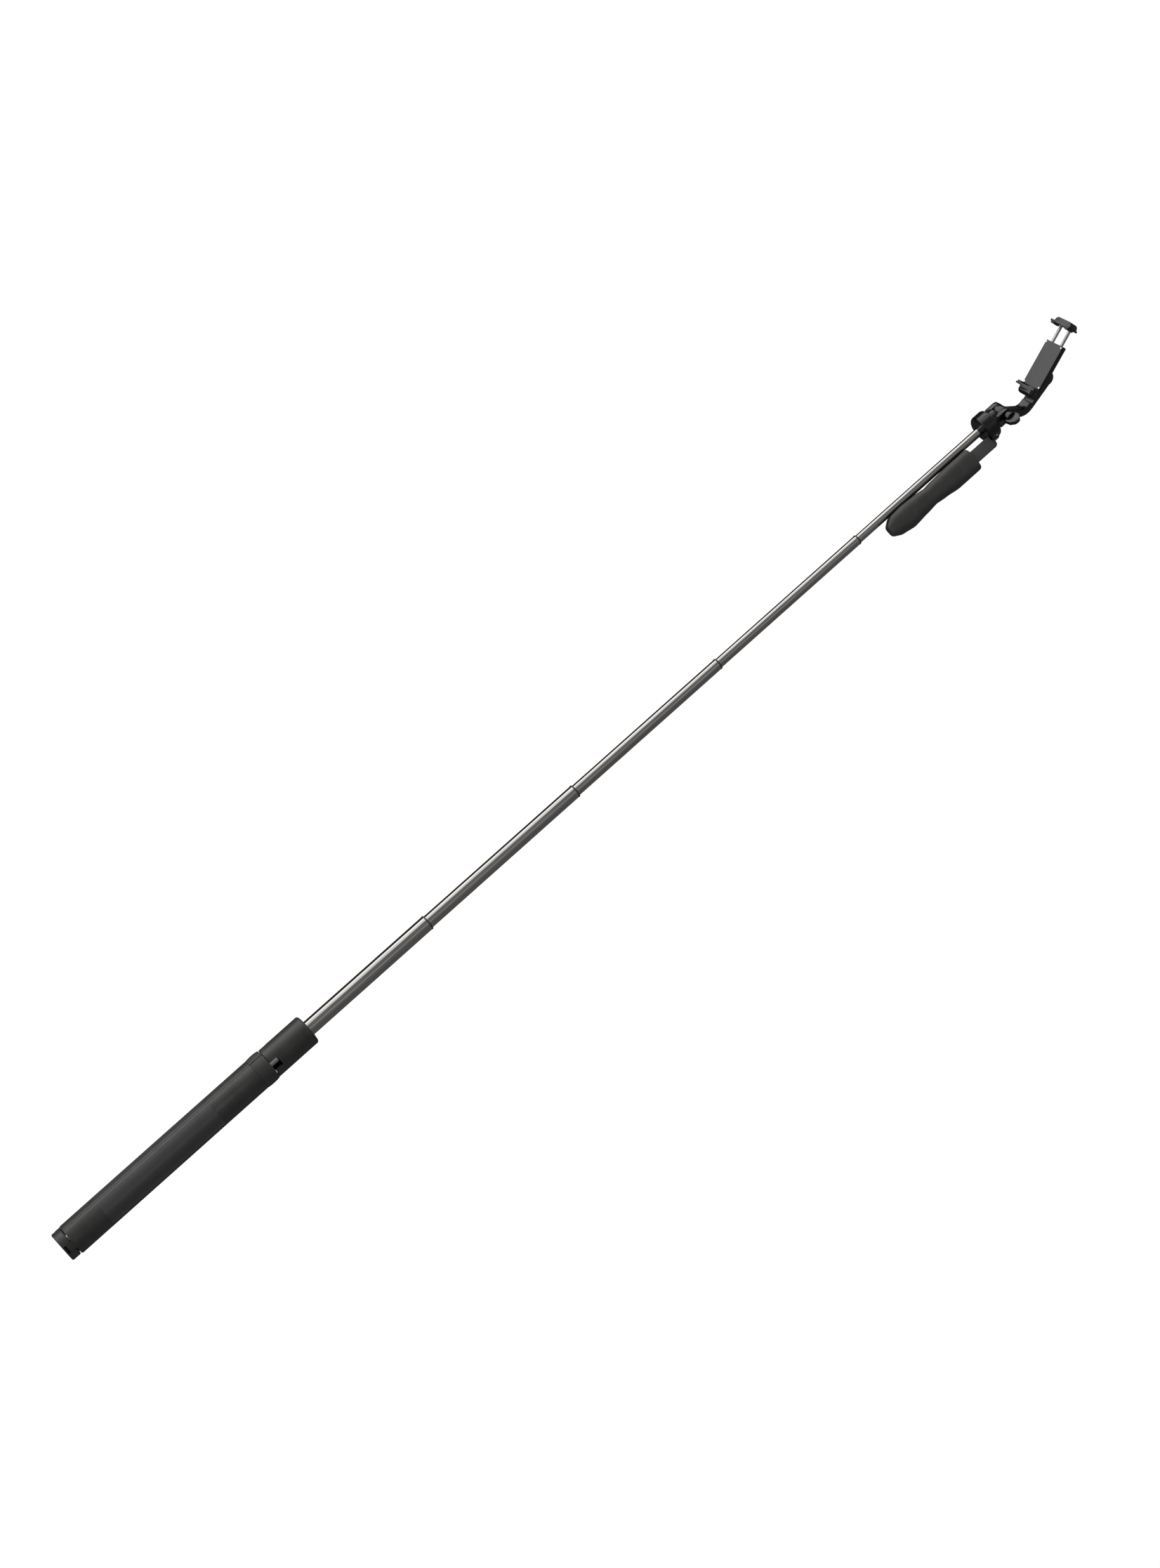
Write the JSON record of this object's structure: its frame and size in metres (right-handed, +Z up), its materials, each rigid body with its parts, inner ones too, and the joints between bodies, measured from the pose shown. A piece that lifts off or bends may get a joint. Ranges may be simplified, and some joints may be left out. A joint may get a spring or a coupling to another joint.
{
  "type": "selfie stick",
  "caption": "Telescoping selfie stick whose handle unfolds into tripod legs, with a folding second grip and a tilting phone clamp.",
  "frame": {"origin": "centre of the base cap's flat bottom", "axes": "+Z up the pole from the base cap to the phone clamp; +X towards the side the folding grip hangs on; -Y towards the viewer's side that the phone's screen leans to"},
  "size_m": [0.0737, 0.0641, 1.4898],
  "materials": {
    "black_shell": "fine matt grain",
    "pad_rubber": "smooth satin rubber",
    "foot_rubber": "matt rubber",
    "steel_tube": "bright drawn finish, dark nickel tint",
    "tube_ring": "dark moulded ring",
    "grip_black": "soft-touch matt",
    "head_black": "satin black",
    "zinc": "plain zinc fastener",
    "liner_metal": "plain rolled strip",
    "bush_white": "plain white acetal",
    "jaw_pad": "soft ribbed pad"
  },
  "bodies": {
    "handle": {"base_cap": "black_shell", "base_screw": "zinc", "base_plug": "bush_white", "leg_pins": "zinc", "centre_tube": "steel_tube", "collar": "black_shell", "collar_bush": "bush_white"},
    "leg_1": {"leg_shell_1": "black_shell", "leg_liner_1": "liner_metal", "leg_pad_1": "pad_rubber", "leg_foot_1": "foot_rubber"},
    "leg_2": {"leg_shell_2": "black_shell", "leg_liner_2": "liner_metal", "leg_pad_2": "pad_rubber", "leg_foot_2": "foot_rubber"},
    "leg_3": {"leg_shell_3": "black_shell", "leg_liner_3": "liner_metal", "leg_pad_3": "pad_rubber", "leg_foot_3": "foot_rubber"},
    "section_a": {"tube_a": "steel_tube", "ring_a": "tube_ring", "bush_a": "bush_white"},
    "section_b": {"tube_b": "steel_tube", "ring_b": "tube_ring", "bush_b": "bush_white"},
    "section_c": {"tube_c": "steel_tube", "ring_c": "tube_ring", "bush_c": "bush_white"},
    "section_d": {"tube_d": "steel_tube", "ring_d": "tube_ring", "bush_d": "bush_white"},
    "section_e": {"tube_e": "steel_tube", "bush_e": "bush_white", "head_block": "head_black", "head_plug": "bush_white", "pan_screw": "zinc", "pan_washer": "bush_white", "grip_pin": "zinc"},
    "grip": {"grip_core": "grip_black", "grip_shell_front": "grip_black", "grip_shell_rear": "grip_black", "grip_screws": "zinc"},
    "fork": {"tilt_fork": "head_black", "tilt_bolt": "zinc"},
    "wing": {"wing_knob": "head_black", "knob_nut": "zinc"},
    "elbow": {"elbow_arm": "head_black"},
    "clamp": {"clamp_body": "head_black", "clamp_cover": "head_black", "clamp_screws": "zinc", "lower_jaw": "head_black", "lower_pads": "jaw_pad", "swivel_screw": "zinc"},
    "jaw": {"upper_jaw": "head_black", "upper_pads": "jaw_pad", "jaw_rods": "zinc", "rod_foot": "head_black", "jaw_springs": "zinc"}
  },
  "joints": [
    {"name": "leg_1_hinge", "type": "hinge", "parent": "handle", "child": "leg_1", "pos_m": [0.00432, -0.0129, 0.0064], "axis": [0.9483, 0.3173, 0], "range_deg": [0, 110]},
    {"name": "leg_2_hinge", "type": "hinge", "parent": "handle", "child": "leg_2", "pos_m": [0.00901, 0.01019, 0.0064], "axis": [-0.749, 0.6626, 0], "range_deg": [0, 110]},
    {"name": "leg_3_hinge", "type": "hinge", "parent": "handle", "child": "leg_3", "pos_m": [-0.01333, 0.00271, 0.0064], "axis": [-0.1994, -0.9799, 0], "range_deg": [0, 110]},
    {"name": "tube_a_slide", "type": "slide", "parent": "handle", "child": "section_a", "axis": [0, 0, 1], "range_m": [-0.1666, 0]},
    {"name": "tube_b_slide", "type": "slide", "parent": "section_a", "child": "section_b", "axis": [0, 0, 1], "range_m": [-0.211, 0]},
    {"name": "tube_c_slide", "type": "slide", "parent": "section_b", "child": "section_c", "axis": [0, 0, 1], "range_m": [-0.2105, 0]},
    {"name": "tube_d_slide", "type": "slide", "parent": "section_c", "child": "section_d", "axis": [0, 0, 1], "range_m": [-0.2118, 0]},
    {"name": "tube_e_slide", "type": "slide", "parent": "section_d", "child": "section_e", "axis": [0, 0, 1], "range_m": [-0.1919, 0]},
    {"name": "grip_hinge", "type": "hinge", "parent": "section_e", "child": "grip", "pos_m": [0.015, 0, 1.341], "axis": [0, 1, 0], "range_deg": [-90, 0]},
    {"name": "head_pan", "type": "hinge", "parent": "section_e", "child": "fork", "pos_m": [0, 0, 1.3511], "axis": [0, 0, 1], "continuous": true},
    {"name": "tilt_knob", "type": "hinge", "parent": "fork", "child": "wing", "pos_m": [0, 0, 1.366], "axis": [0.7266, -0.6871, 0], "continuous": true},
    {"name": "head_tilt", "type": "hinge", "parent": "fork", "child": "elbow", "pos_m": [0, 0, 1.366], "axis": [0.7266, -0.6871, 0], "range_deg": [-55, 80]},
    {"name": "clamp_swivel", "type": "hinge", "parent": "elbow", "child": "clamp", "pos_m": [0.00201, 0.00213, 1.43394], "axis": [0.6009, 0.6355, 0.4848], "range_deg": [-90, 90]},
    {"name": "jaw_slide", "type": "slide", "parent": "clamp", "child": "jaw", "axis": [-0.3331, -0.3523, 0.8746], "range_m": [-0.014, 0.02], "stiffness_N_per_m": 250, "springref_m": -0.03, "deforming": ["jaw_springs"]}
  ]
}
